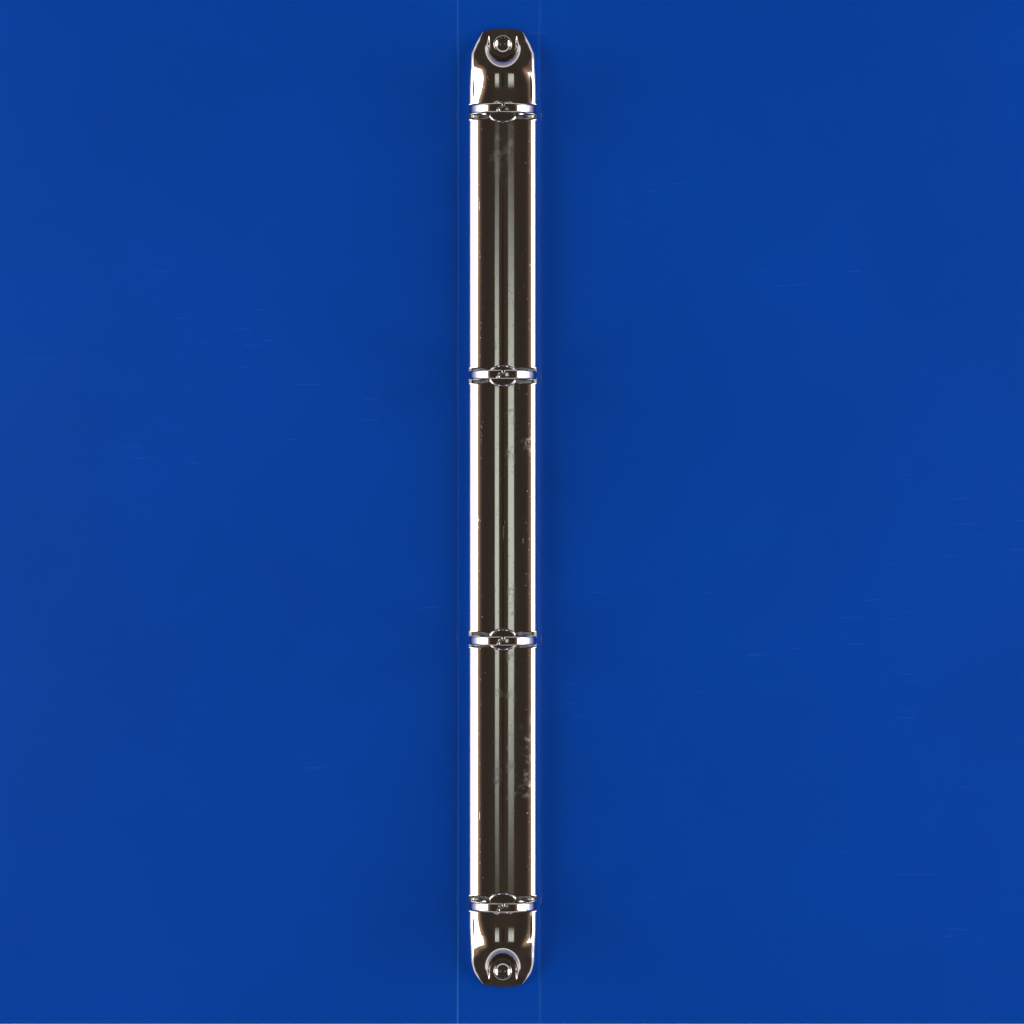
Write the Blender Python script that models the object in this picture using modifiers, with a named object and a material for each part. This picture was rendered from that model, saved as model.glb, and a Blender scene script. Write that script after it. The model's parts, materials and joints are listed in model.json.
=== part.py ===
"""Four-ring binder for A4 paper, lying open and flat on its back.

The frame: X runs across the covers (front cover at -X, back cover at +X), Y runs along the spine,
Z is up. The origin is under the middle of the spine, at the level that the rivet heads stand on.

The plastic sheet is cut at its two living hinges into two covers, a spine panel and two webs. The ring
mechanism stands on the spine panel: a pressed steel housing, two carrying rails (blades) that rock
inside it, four rings in halves staked into the blades, and two hollow rivets.
"""

import math

import bmesh
import bpy
from mathutils import Vector

MM = 0.001

# Plastic sheet
COVER_WIDTH = 240 * MM  # from the hinge axis to the outer edge
SPINE_WIDTH = 25 * MM  # from hinge axis to hinge axis
SPINE_FLAT_HALF_LENGTH = 120 * MM  # the flat between the rivets that a spine label takes
SPINE_END_RISE = 0.03 * MM  # the underside is squeezed this much thinner towards each rivet
SHEET_HEIGHT = 312 * MM
SHEET_THICK = 0.8 * MM
CORNER_RADIUS = 10 * MM
WEB_WIDTH = 1.0 * MM
WEB_THICK = 0.34 * MM
GAP = 0.05 * MM  # left between pieces that rest on each other

# Rivets
RIVET_SPACING = 281.2 * MM
RIVET_HEAD_RADIUS = 4.2 * MM
RIVET_HEAD_THICK = 0.6 * MM
RIVET_SHANK_RADIUS = 2.3 * MM
RIVET_BORE_RADIUS = 1.65 * MM
RIVET_RIM_RADIUS = 2.9 * MM
RIVET_RIM_HEIGHT = 0.9 * MM
RIVET_CLEARANCE = 0.15 * MM

# Housing
MECHANISM_X = 1.2 * MM  # the mechanism stands a little nearer to the back cover
MECHANISM_Y = 0.8 * MM
HOUSING_LENGTH = 291 * MM
HOUSING_WIDTH = 20.5 * MM
HOUSING_HEIGHT = 6.6 * MM
HOUSING_THICK = 0.8 * MM
CROWN_RADIUS = 18.4 * MM
SHOULDER_WIDTH = 2.25 * MM
END_HALF_WIDTH = 6.0 * MM
END_TAPER = 7.6 * MM
FLOOR_RADIUS = 3.95 * MM  # the flat platform round each rivet
RECESS_HALF_WIDTH = 5.7 * MM
RECESS_REACH = 7.9 * MM
LIP_WIDTH = 1.5 * MM
LIP_HALF_LENGTH = 130 * MM
NOTCH_REACH = 5.9 * MM
NOTCH_WIDTH = 4.6 * MM

# Rings and the blades that carry them
RING_COUNT = 4
RING_PITCH = 80 * MM
WIRE_RADIUS = 1.4 * MM
RING_RADIUS = 8.8 * MM  # to the middle of the wire
RING_CENTRE_Z = 12.5 * MM  # above the sheet
TIP_GAP = 0.2 * MM
BEND_RADIUS = 2.0 * MM  # where the wire turns down into the housing
BLADE_THICK = 0.9 * MM
BLADE_HALF_LENGTH = 130.5 * MM
BLADE_MIDDLE_GAP = 0.6 * MM
BLADE_CLOSED_TILT = math.radians(6)
PIVOT_X = 8.8 * MM
PIVOT_Z = 2.1 * MM
FOOT_FROM_PIVOT = 2.6 * MM
NECK_RADIUS = 1.0 * MM
NECK_CLEARANCE = 0.15 * MM
STAKE_RADIUS = 1.35 * MM
STAKE_THICK = 0.35 * MM

SHEET_BOTTOM = RIVET_HEAD_THICK
SHEET_TOP = SHEET_BOTTOM + SHEET_THICK
HINGE_X = SPINE_WIDTH / 2
HINGE_Z = SHEET_BOTTOM + SHEET_THICK / 2
PANEL_SETBACK = WEB_WIDTH / 2 + GAP
RING_PLACES = [(i - (RING_COUNT - 1) / 2) * RING_PITCH for i in reversed(range(RING_COUNT))]
SIDES = {"left": -1, "right": 1}

PLASTIC = ("blue_plastic", (0.003, 0.045, 0.31), 0.35, 0.0)
NICKEL = ("nickel_plate", (0.72, 0.70, 0.67), 0.12, 1.0)
STEEL = ("zinc_steel", (0.55, 0.55, 0.54), 0.3, 1.0)


# ---------------------------------------------------------------- scene helpers


def clear_scene():
    for thing in list(bpy.data.objects):
        bpy.data.objects.remove(thing, do_unlink=True)


def collection(name):
    made = bpy.data.collections.new(name)
    bpy.context.scene.collection.children.link(made)
    return made


def material(name, colour, roughness, metallic):
    made = bpy.data.materials.get(name)
    if made is None:
        made = bpy.data.materials.new(name)
        made.use_nodes = True
        shader = made.node_tree.nodes["Principled BSDF"]
        shader.inputs["Base Color"].default_value = (*colour, 1)
        shader.inputs["Roughness"].default_value = roughness
        shader.inputs["Metallic"].default_value = metallic
    return made


def empty(name, place, parent=None):
    made = bpy.data.objects.new(name, None)
    made.location = place
    made.parent = parent
    PARTS.objects.link(made)
    return made


def add(name, data, finish=None, parent=None, into=None):
    """An object of this mesh or curve, in the model's collection unless told otherwise."""
    made = bpy.data.objects.new(name, data)
    made.parent = parent
    if finish:
        data.materials.append(material(*finish))
    (into or PARTS).objects.link(made)
    return made


def mesh_from(name, bm):
    data = bpy.data.meshes.new(name)
    bm.normal_update()
    bm.to_mesh(data)
    bm.free()
    return data


def plate_mesh(name, low, high, rounded=(), radius=0.0, flat_half_length=0.0):
    """A box from low to high. Its upright edges at the X, Y corners in rounded, given as signs, are rounded.
    Its underside is level for flat_half_length either way along Y, if given, and then rises a little."""
    low, high = Vector(low), Vector(high)
    size, middle = high - low, (low + high) / 2
    bm = bmesh.new()
    bmesh.ops.create_cube(bm, size=1)
    for v in bm.verts:
        v.co = Vector(c * s for c, s in zip(v.co, size))
    corners = [
        e
        for e in bm.edges
        if e.verts[0].co.xy == e.verts[1].co.xy
        and any(e.verts[0].co.x * sx > 0 and e.verts[0].co.y * sy > 0 for sx, sy in rounded)
    ]
    if corners:
        bmesh.ops.bevel(bm, geom=corners, offset=radius, segments=8, profile=0.5, affect="EDGES")
    bmesh.ops.translate(bm, vec=middle, verts=bm.verts)
    if flat_half_length:
        for y in (flat_half_length, flat_half_length + 1 * MM):
            for side in (-1, 1):
                whole = [*bm.verts, *bm.edges, *bm.faces]
                bmesh.ops.bisect_plane(bm, geom=whole, plane_co=(0, side * y, 0), plane_no=(0, 1, 0))
        for v in bm.verts:
            if v.co.z < middle.z and abs(v.co.y) > flat_half_length + 0.5 * MM:
                v.co.z += SPINE_END_RISE
    return mesh_from(name, bm)


def rod_mesh(name, radius, low_z, high_z, sides=24):
    bm = bmesh.new()
    bmesh.ops.create_cone(
        bm, cap_ends=True, segments=sides, radius1=radius, radius2=radius, depth=high_z - low_z
    )
    bmesh.ops.translate(bm, vec=(0, 0, (low_z + high_z) / 2), verts=bm.verts)
    return mesh_from(name, bm)


def tool(name, data, place=(0, 0, 0), parent=None):
    """A hidden object that a Boolean modifier cuts away or joins on."""
    made = add(name, data, parent=parent, into=TOOLS)
    made.location = place
    made.hide_render = True
    made.display_type = "WIRE"
    return made


def boolean(target, other, operation="DIFFERENCE"):
    modifier = target.modifiers.new(other.name, "BOOLEAN")
    modifier.operation = operation
    modifier.solver = "EXACT"
    modifier.object = other


# ---------------------------------------------------------------- plastic sheet


def build_sheet():
    """Two covers and a spine panel, with a thin web of the same plastic at each living hinge."""
    half_height = SHEET_HEIGHT / 2
    for name, side in (("front_cover", -1), ("back_cover", 1)):
        hinge = empty(name + "_hinge_axis", (side * HINGE_X, 0, HINGE_Z))
        inner, outer = sorted((side * PANEL_SETBACK, side * COVER_WIDTH))
        cover = plate_mesh(
            name,
            (inner, -half_height, -SHEET_THICK / 2),
            (outer, half_height, SHEET_THICK / 2),
            rounded=((side, 1), (side, -1)),
            radius=CORNER_RADIUS,
        )
        add(name, cover, PLASTIC, hinge)
        web_name = name.replace("cover", "hinge_web")
        web = plate_mesh(
            web_name,
            (-WEB_WIDTH / 2, -half_height, -WEB_THICK / 2),
            (WEB_WIDTH / 2, half_height, WEB_THICK / 2),
        )
        add(web_name, web, PLASTIC, hinge)

    half_width = HINGE_X - PANEL_SETBACK
    spine = add(
        "spine_panel",
        plate_mesh(
            "spine_panel",
            (-half_width, -half_height, SHEET_BOTTOM),
            (half_width, half_height, SHEET_TOP),
            flat_half_length=SPINE_FLAT_HALF_LENGTH,
        ),
        PLASTIC,
    )
    boolean(spine, RIVET_HOLES["top"])
    boolean(spine, RIVET_HOLES["bottom"])


# ---------------------------------------------------------------- rivets


def rivet_places():
    return {"top": RIVET_SPACING / 2, "bottom": -RIVET_SPACING / 2}


def build_rivet_holes(mechanism):
    radius = RIVET_SHANK_RADIUS + RIVET_CLEARANCE
    depth = SHEET_THICK + 1 * MM
    return {
        name: tool(
            "rivet_hole_" + name,
            rod_mesh("rivet_hole_" + name, radius, -depth, HOUSING_HEIGHT),
            (0, y, 0),
            mechanism,
        )
        for name, y in rivet_places().items()
    }


def rivet_profile():
    """(r, z) from the bottom of the bore, up its wall, over the rolled rim and down to the flat head."""
    seat = HOUSING_THICK + 2 * GAP
    roll = (RIVET_RIM_RADIUS - RIVET_BORE_RADIUS) / 2
    middle = RIVET_BORE_RADIUS + roll
    crest = seat + RIVET_RIM_HEIGHT - roll
    underside = -SHEET_THICK - GAP
    bottom = -SHEET_THICK - RIVET_HEAD_THICK
    points = [(0, -0.5 * MM), (RIVET_BORE_RADIUS, -0.3 * MM)]
    points += [
        (middle - roll * math.cos(a), crest + roll * math.sin(a))
        for a in (math.pi * i / 8 for i in range(9))
    ]
    points += [
        (RIVET_RIM_RADIUS, seat),
        (RIVET_SHANK_RADIUS, seat),
        (RIVET_SHANK_RADIUS, underside),
        (RIVET_HEAD_RADIUS, underside),
        (RIVET_HEAD_RADIUS - 0.3 * MM, bottom),
        (0, bottom),
    ]
    return points


def build_rivets(mechanism):
    """Two hollow rivets: a flat head outside the spine, a shank, and a rolled rim on the platform."""
    for name, y in rivet_places().items():
        bm = bmesh.new()
        verts = [bm.verts.new((r, 0, z)) for r, z in rivet_profile()]
        for a, b in zip(verts, verts[1:]):
            bm.edges.new((a, b))
        rivet = add("rivet_" + name, mesh_from("rivet_" + name, bm), STEEL, mechanism)
        rivet.location = (0, y, 0)
        turn = rivet.modifiers.new("turn", "SCREW")
        turn.steps = turn.render_steps = 24
        turn.use_merge_vertices = True
        turn.merge_threshold = 1e-6


# ---------------------------------------------------------------- housing


def half_width_at(y):
    """Half the housing's width: full along its length, drawn in along a soft chamfer at each end."""
    left = min(1.0, (HOUSING_LENGTH / 2 - abs(y)) / END_TAPER)
    return END_HALF_WIDTH + (HOUSING_WIDTH / 2 - END_HALF_WIDTH) * (1 - (1 - left) ** 1.35)


def arch_points(half_width, inset):
    """One side of the arch from the crown to the foot, moved in by inset: a crown arc, a shoulder arc
    that turns to vertical, and a straight wall."""
    flat = half_width - SHOULDER_WIDTH
    crown_angle = math.asin(flat / CROWN_RADIUS)
    shoulder = SHOULDER_WIDTH / (1 - math.sin(crown_angle))
    crown_z = HOUSING_HEIGHT - CROWN_RADIUS
    pivot_x = half_width - shoulder
    pivot_z = crown_z + (CROWN_RADIUS - shoulder) * math.cos(crown_angle)
    points = []
    for i in range(11):
        angle = crown_angle * i / 10
        reach = CROWN_RADIUS - inset
        points.append((reach * math.sin(angle), crown_z + reach * math.cos(angle)))
    for i in range(1, 7):
        angle = crown_angle + (math.pi / 2 - crown_angle) * i / 6
        reach = shoulder - inset
        points.append((pivot_x + reach * math.sin(angle), pivot_z + reach * math.cos(angle)))
    points.append((half_width - inset, GAP))
    return points


def pressed_share(x, y, grow):
    """0 on the rivet platform, 1 on the plain arch, and a smooth wall between them. The recess is half an
    ellipse towards the middle of the housing and runs straight out at the end."""
    inward = max(0.0, RIVET_SPACING / 2 - abs(y))
    reach = math.hypot(x, inward)
    if reach < 1e-9:
        return 0.0
    wide, long = RECESS_HALF_WIDTH + grow, RECESS_REACH + grow
    outline = reach / math.hypot(x / wide, inward / long)
    share = (reach - FLOOR_RADIUS - grow) / (outline - FLOOR_RADIUS - grow)
    share = min(1.0, max(0.0, share))
    return share * share * (3 - 2 * share)


def housing_skin(y, inset, floor):
    """The whole skin across the housing at y, left foot to right foot, pressed down round the rivet."""
    skin = []
    for x, z in arch_points(half_width_at(y), inset):
        if z > floor:
            z = floor + (z - floor) * pressed_share(x, y, inset)
        skin.append((x, z))
    return [(-x, z) for x, z in reversed(skin[1:])] + skin


def housing_stations():
    """Where the loft has a section: close together along the two pressed ends, none needed between."""
    end = HOUSING_LENGTH / 2
    start = RIVET_SPACING / 2 - RECESS_REACH - 2 * MM
    count = 14
    upper = [start + (end - start) * i / count for i in range(count + 1)]
    return [-y for y in reversed(upper)] + upper


def build_housing(mechanism):
    """The sprung steel cover: a loft of closed sections, with lips along its feet and a notch on each
    side of every ring."""
    bm = bmesh.new()
    rows = []
    for y in housing_stations():
        outer = housing_skin(y, 0.0, HOUSING_THICK + GAP)
        inner = housing_skin(y, HOUSING_THICK, GAP)
        rows.append(
            (
                [bm.verts.new((x, y, z)) for x, z in outer],
                [bm.verts.new((x, y, z)) for x, z in inner],
            )
        )
    last = len(rows[0][0]) - 1
    for (outer_a, inner_a), (outer_b, inner_b) in zip(rows, rows[1:]):
        for i in range(last):
            bm.faces.new((outer_a[i], outer_a[i + 1], outer_b[i + 1], outer_b[i]))
            bm.faces.new((inner_a[i], inner_b[i], inner_b[i + 1], inner_a[i + 1]))
        for i in (0, last):
            bm.faces.new((outer_a[i], outer_b[i], inner_b[i], inner_a[i]))
    for outer, inner in (rows[0], rows[-1]):
        for i in range(last):
            bm.faces.new((outer[i], inner[i], inner[i + 1], outer[i + 1]))
    bmesh.ops.recalc_face_normals(bm, faces=bm.faces)
    housing = add("housing", mesh_from("housing", bm), NICKEL, mechanism)

    edge = HOUSING_WIDTH / 2
    wall_middle = edge - HOUSING_THICK / 2
    for name, side in SIDES.items():
        low, high = sorted((side * (edge - LIP_WIDTH), side * wall_middle))
        lip = plate_mesh(
            name + "_lip",
            (low, -LIP_HALF_LENGTH, 2 * GAP),
            (high, LIP_HALF_LENGTH, HOUSING_THICK),
        )
        boolean(housing, tool(name + "_lip", lip, parent=mechanism), "UNION")
    for number, y in enumerate(RING_PLACES, 1):
        for name, side in SIDES.items():
            low, high = sorted((side * (edge - NOTCH_REACH), side * (edge + 1 * MM)))
            notch_name = f"notch_{number}_{name}"
            notch = plate_mesh(
                notch_name,
                (low, -NOTCH_WIDTH / 2, HOUSING_THICK + GAP),
                (high, NOTCH_WIDTH / 2, HOUSING_HEIGHT + 1 * MM),
            )
            boolean(housing, tool(notch_name, notch, (0, y, 0), mechanism))
    for hole in RIVET_HOLES.values():
        boolean(housing, hole)


# ---------------------------------------------------------------- blades and rings


def blade_direction(side):
    """(from the pivot towards the middle along the closed blade, up from its face), as (x, z) pairs."""
    along = (-side * math.cos(BLADE_CLOSED_TILT), -math.sin(BLADE_CLOSED_TILT))
    up = (-side * math.sin(BLADE_CLOSED_TILT), math.cos(BLADE_CLOSED_TILT))
    return along, up


def build_blade(name, side, pivot):
    """A flat steel rail from the pivot to the middle, dipped below level when the rings are shut."""
    reach = PIVOT_X - BLADE_MIDDLE_GAP / 2
    low, high = sorted((0, -side * reach))
    data = plate_mesh(
        name + "_blade",
        (low, -BLADE_HALF_LENGTH, -BLADE_THICK / 2),
        (high, BLADE_HALF_LENGTH, BLADE_THICK / 2),
    )
    blade = add(name + "_blade", data, STEEL, pivot)
    blade.rotation_euler.y = -side * BLADE_CLOSED_TILT
    for number, y in enumerate(RING_PLACES, 1):
        hole_name = f"foot_hole_{number}_{name}"
        hole = rod_mesh(hole_name, NECK_RADIUS + NECK_CLEARANCE, -1 * MM, 1 * MM, 16)
        boolean(blade, tool(hole_name, hole, (-side * FOOT_FROM_PIVOT, y, 0), blade))


def ring_path():
    """Middle line of the right half of a ring in its own plane, as (x, z, wire radius): from the tip
    round a circle, through a reversed bend, and down square to the blade, where it is necked and staked."""
    along, up = blade_direction(1)
    foot = (PIVOT_X + FOOT_FROM_PIVOT * along[0], PIVOT_Z + FOOT_FROM_PIVOT * along[1])
    outward = (up[1], -up[0])
    # the bend touches the circle from outside and touches the foot's line
    near = (foot[0] + BEND_RADIUS * outward[0], foot[1] + BEND_RADIUS * outward[1] - RING_CENTRE_Z)
    half_b = near[0] * up[0] + near[1] * up[1]
    c = near[0] ** 2 + near[1] ** 2 - (RING_RADIUS + BEND_RADIUS) ** 2
    rise = -half_b - math.sqrt(half_b * half_b - c)
    bend = (near[0] + rise * up[0], near[1] + rise * up[1] + RING_CENTRE_Z)

    circle_end = math.atan2(bend[1] - RING_CENTRE_Z, bend[0])
    circle_start = math.pi / 2 - TIP_GAP / 2 / RING_RADIUS
    points = []
    for i in range(23):
        angle = circle_start + (circle_end - circle_start) * i / 22
        points.append((RING_RADIUS * math.cos(angle), RING_CENTRE_Z + RING_RADIUS * math.sin(angle)))
    bend_start = circle_end + math.pi
    bend_end = math.atan2(-outward[1], -outward[0]) % (2 * math.pi)
    for i in range(1, 6):
        angle = bend_start + (bend_end - bend_start) * i / 5
        points.append((bend[0] + BEND_RADIUS * math.cos(angle), bend[1] + BEND_RADIUS * math.sin(angle)))
    path = [(x, z, WIRE_RADIUS) for x, z in points]

    face = BLADE_THICK / 2 + GAP
    step = 0.01 * MM
    for height, radius in (
        (face + step, WIRE_RADIUS),
        (face, NECK_RADIUS),
        (-face, NECK_RADIUS),
        (-face - step, STAKE_RADIUS),
        (-face - STAKE_THICK, STAKE_RADIUS),
    ):
        path.append((foot[0] + height * up[0], foot[1] + height * up[1], radius))
    return path


def build_ring_half(name, side, number, y, pivot):
    """A bent wire of round section. The pivot carries it, so its points are counted from there."""
    data = bpy.data.curves.new(f"ring_{number}_{name}", "CURVE")
    data.dimensions = "3D"
    data.bevel_depth = WIRE_RADIUS
    data.bevel_resolution = 4
    data.use_fill_caps = True
    path = ring_path()
    line = data.splines.new("POLY")
    line.points.add(len(path) - 1)
    for point, (x, z, radius) in zip(line.points, path):
        point.co = (side * (x - PIVOT_X), 0, z - PIVOT_Z, 1)
        point.radius = radius / WIRE_RADIUS
    half = add(data.name, data, NICKEL, pivot)
    half.location = (0, y, 0)


def build_rails(mechanism):
    for name, side in SIDES.items():
        pivot = empty(name + "_rail_axis", (side * PIVOT_X, 0, PIVOT_Z), mechanism)
        build_blade(name, side, pivot)
        for number, y in enumerate(RING_PLACES, 1):
            build_ring_half(name, side, number, y, pivot)


clear_scene()
PARTS = collection("ring_binder")
TOOLS = collection("cutters")
MECHANISM = empty("mechanism", (MECHANISM_X, MECHANISM_Y, SHEET_TOP))
RIVET_HOLES = build_rivet_holes(MECHANISM)
build_sheet()
build_rivets(MECHANISM)
build_housing(MECHANISM)
build_rails(MECHANISM)
bpy.context.view_layer.update()
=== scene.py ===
"""Ring binder, lying open: its finished surfaces, finishes, light and camera.

Everything is in metres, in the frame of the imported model: X runs across the covers, Y along the spine and
Z up out of the inside face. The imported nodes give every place, and the settings give what they leave open.
"""

import json
import math

import bpy
import numpy as np
from bpy.props import FloatProperty, FloatVectorProperty, IntProperty, PointerProperty
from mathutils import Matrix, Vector

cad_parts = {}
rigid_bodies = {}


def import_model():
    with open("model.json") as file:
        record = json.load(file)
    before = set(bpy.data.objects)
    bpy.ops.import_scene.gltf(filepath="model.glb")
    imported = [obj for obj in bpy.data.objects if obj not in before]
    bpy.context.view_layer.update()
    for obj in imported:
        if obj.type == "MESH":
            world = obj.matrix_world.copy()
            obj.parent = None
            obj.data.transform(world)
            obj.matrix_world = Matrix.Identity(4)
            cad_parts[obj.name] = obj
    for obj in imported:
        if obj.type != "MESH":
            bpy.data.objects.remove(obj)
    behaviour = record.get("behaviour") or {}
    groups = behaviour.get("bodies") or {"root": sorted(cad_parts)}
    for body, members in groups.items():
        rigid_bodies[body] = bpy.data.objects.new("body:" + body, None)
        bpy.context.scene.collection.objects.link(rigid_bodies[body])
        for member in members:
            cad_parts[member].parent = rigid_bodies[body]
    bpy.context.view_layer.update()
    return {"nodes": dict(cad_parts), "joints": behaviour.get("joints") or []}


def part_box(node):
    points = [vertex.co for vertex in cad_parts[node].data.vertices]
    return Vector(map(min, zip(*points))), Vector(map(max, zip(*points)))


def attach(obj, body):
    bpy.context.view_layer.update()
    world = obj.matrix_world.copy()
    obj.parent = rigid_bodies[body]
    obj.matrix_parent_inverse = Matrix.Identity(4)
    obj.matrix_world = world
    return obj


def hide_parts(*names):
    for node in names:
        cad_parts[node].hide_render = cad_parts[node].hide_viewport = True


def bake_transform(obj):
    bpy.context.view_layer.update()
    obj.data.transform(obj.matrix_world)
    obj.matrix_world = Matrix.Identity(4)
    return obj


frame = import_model()

bl_info = {
    "name": "Ring Binder",
    "version": (1, 0, 0),
    "blender": (4, 5, 0),
    "location": "View3D > Sidebar > Ring Binder",
    "description": "Builds an open plastic ring binder with a riveted four-ring mechanism",
    "category": "Add Mesh",
}

MM = 0.001
SIDES = {"left": -1, "right": 1}
COVERS = {"front": -1, "back": 1}

SPINE_LOW, SPINE_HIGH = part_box("spine_panel")
HOUSING_LOW, HOUSING_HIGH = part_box("housing")
SHEET_TOP = SPINE_HIGH.z
SHEET_MIDDLE = (SPINE_LOW.z + SPINE_HIGH.z) / 2
SHEET_THICK = SPINE_HIGH.z - SPINE_LOW.z
MECHANISM_X, MECHANISM_Y = ((HOUSING_LOW + HOUSING_HIGH) / 2).xy
HALF_WIDTH, HALF_LENGTH = ((HOUSING_HIGH - HOUSING_LOW) / 2).xy
RIVET_PLACES = {end: sum((c.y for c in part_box("rivet_" + end)), 0.0) / 2 for end in ("top", "bottom")}
RING_PLACES = [sum((c.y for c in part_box(f"ring_{n}_left")), 0.0) / 2 for n in (1, 2, 3, 4)]
JOINTS = {joint["name"]: joint for joint in frame["joints"]}
COVER_HINGES = {end: Vector(JOINTS[end + "_cover_hinge"]["pos_m"]) for end in COVERS}
RAIL_HINGES = {side: Vector(JOINTS[side + "_rail_hinge"]["pos_m"]) for side in SIDES}


# ---------------------------------------------------------------- settings


def length(name, description, default):
    return FloatProperty(name=name, description=description, default=default, unit="LENGTH")


def amount(name, description, default):
    return FloatProperty(name=name, description=description, default=default, min=0)


def count(name, description, default):
    return IntProperty(name=name, description=description, default=default, min=8)


def paint(name, description, default):
    return FloatVectorProperty(
        name=name, description=description, default=default, subtype="COLOR", min=0, max=1
    )


class BinderSheetSettings(bpy.types.PropertyGroup):
    """Sizes of the plastic sheet's edges and hinges."""

    corner_radius: length("Corner radius", "Radius of the covers' outer corners", 10 * MM)
    edge_radius: length("Edge radius", "How far the cut edge is rounded over", 0.3 * MM)
    border_inset: length("Border inset", "Distance from the cut edge to the pressed border line", 1.1 * MM)
    border_width: length("Border half width", "Half the width of the pressed border line", 0.22 * MM)
    border_depth: length("Border depth", "Depth of the pressed border line", 0.07 * MM)
    hinge_half_width: length(
        "Hinge strip half width", "Half the width of the strip that bends at each living hinge", 1.0 * MM
    )
    hinge_thick: length("Hinge thickness", "Thickness left at the bottom of the hinge groove", 0.34 * MM)
    front_groove: length(
        "Front groove half width", "Half the width of the groove at the front cover's hinge", 0.5 * MM
    )
    back_groove: length(
        "Back groove half width", "Half the width of the groove at the back cover's hinge", 0.8 * MM
    )


class BinderHousingSettings(bpy.types.PropertyGroup):
    """Sizes of the pressed steel housing that the frame leaves open."""

    thickness: length("Sheet thickness", "Thickness of the pressed steel", 0.8 * MM)
    crown_radius_left: length("Left crown radius", "Radius of the crown on its left half", 17.6 * MM)
    crown_radius_right: length("Right crown radius", "Radius of the crown on its right half", 20.4 * MM)
    shoulder_radius: length(
        "Shoulder radius", "Radius of the shoulder between the crown and the wall", 2.4 * MM
    )
    end_half_width: length("End half width", "Half the width of each end", 6.0 * MM)
    end_taper: length("End taper", "Length of the cut corners at each end", 7.4 * MM)
    end_swell: length("End swell", "How much half the width still grows past the cut corners", 0.8 * MM)
    end_drop: amount("End drop", "Share of its height that the crown loses at each end", 0.84)
    end_dip: length("End dip", "Depth of the hollow between the recess and the nearest ring", 0.12 * MM)
    end_crown: length("End crown", "How far the end's corners lie behind its middle", 0.8 * MM)
    floor_radius: length("Platform radius", "Radius of the flat platform round each rivet", 3.95 * MM)
    recess_half_width: length("Recess half width", "Half the width of the recess at its rim", 6.0 * MM)
    recess_reach: length("Recess reach", "Distance from the rivet to the recess's inner rim", 7.9 * MM)
    notch_half_width: length(
        "Notch half width", "Half the width of each ring notch along the spine", 2.3 * MM
    )
    notch_root: length(
        "Notch root",
        "Distance from the middle line to where the notch's inner end starts to round",
        5.3 * MM,
    )
    notch_round: length("Notch rounding", "How far the notch's rounded inner end reaches in", 1.5 * MM)
    saddle_depth: length("Saddle depth", "How deep the bridge between two notches is pressed", 0.62 * MM)
    saddle_half_length: length(
        "Saddle half length", "Half the length of the pressed bridge along the spine", 3.4 * MM
    )
    saddle_half_width: length(
        "Saddle half width", "Half the width of the pressed bridge across the spine", 5.2 * MM
    )
    lip_width: length("Lip width", "Width of the lips turned in along the feet", 1.5 * MM)


class BinderRingSettings(bpy.types.PropertyGroup):
    """Sizes of the rings and rivets."""

    wire_radius: length("Wire radius", "Radius of the ring wire", 1.4 * MM)
    ring_radius: length("Ring radius", "Radius of the ring to the middle of the wire", 8.8 * MM)
    centre_height: length("Ring centre height", "Height of the ring's centre above the sheet", 12.5 * MM)
    bend_radius: length(
        "Root bend radius", "Radius of the bend where the wire turns down into the housing", 2.0 * MM
    )
    tip_gap: length("Tip gap", "Gap between the two halves along their joint", 0.3 * MM)
    squareness: amount(
        "Squareness", "Power of the rounded square that the wire's section is: 2 is a circle", 5.0
    )
    tongue: length("Tongue length", "How far each half's tongue reaches past the middle", 0.85 * MM)
    joint_offset: length("Joint offset", "Distance of the joint from the middle line", -0.5 * MM)
    sides: count("Wire sides", "Number of sides round the wire", 56)
    rivet_steps: count("Rivet steps", "Number of steps round each rivet", 96)


class BinderColours(bpy.types.PropertyGroup):
    """Colours of the finishes, in linear light."""

    plastic: paint("Plastic", "Colour of the plastic sheet", (0.0003, 0.100, 0.70))
    # This colour is a painted highlight on the plastic: it lights the hinge lines, the pressed border line
    # and the cut edge.
    plastic_highlight: paint(
        "Painted highlight",
        "Colour of the plastic where it is thin: at its hinges, border line and cut edge",
        (0.03, 0.30, 0.78),
    )
    nickel: paint("Nickel", "Colour of the nickel plate", (0.72, 0.69, 0.655))
    tarnish: paint("Tarnish", "Colour of the nickel plate where it is handled", (0.60, 0.565, 0.52))
    steel: paint("Plated steel", "Colour of the plain steel of the rails", (0.42, 0.41, 0.39))
    floor: paint("Floor", "Colour of the floor", (0.80, 0.80, 0.80))


class BinderStageSettings(bpy.types.PropertyGroup):
    """Camera and lights."""

    camera_height: length("Camera height", "Height of the camera above the sheet", 1.65)
    camera_x: length("Camera X", "Place of the camera across the spine", 4.0 * MM)
    camera_y: length("Camera Y", "Place of the camera along the spine", -0.5 * MM)
    framed_width: length("Framed width", "Width of the view at the sheet", 311.2 * MM)
    softbox_distance: length("Softbox distance", "Distance of each softbox from the spine", 1.0)
    softbox_height: length("Softbox height", "Height of each softbox's upper edge above the floor", 0.78)
    softbox_length: length("Softbox length", "Length of each softbox along the spine's direction", 0.9)
    softbox_radiance: amount(
        "Softbox brightness", "Brightness of the softboxes, where 1 is white paper in full light", 3.4
    )
    strip_radiance: amount(
        "Strip brightness", "Brightness of the two narrow strips beside the camera", 0.72
    )


# ---------------------------------------------------------------- shader nodes


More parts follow.
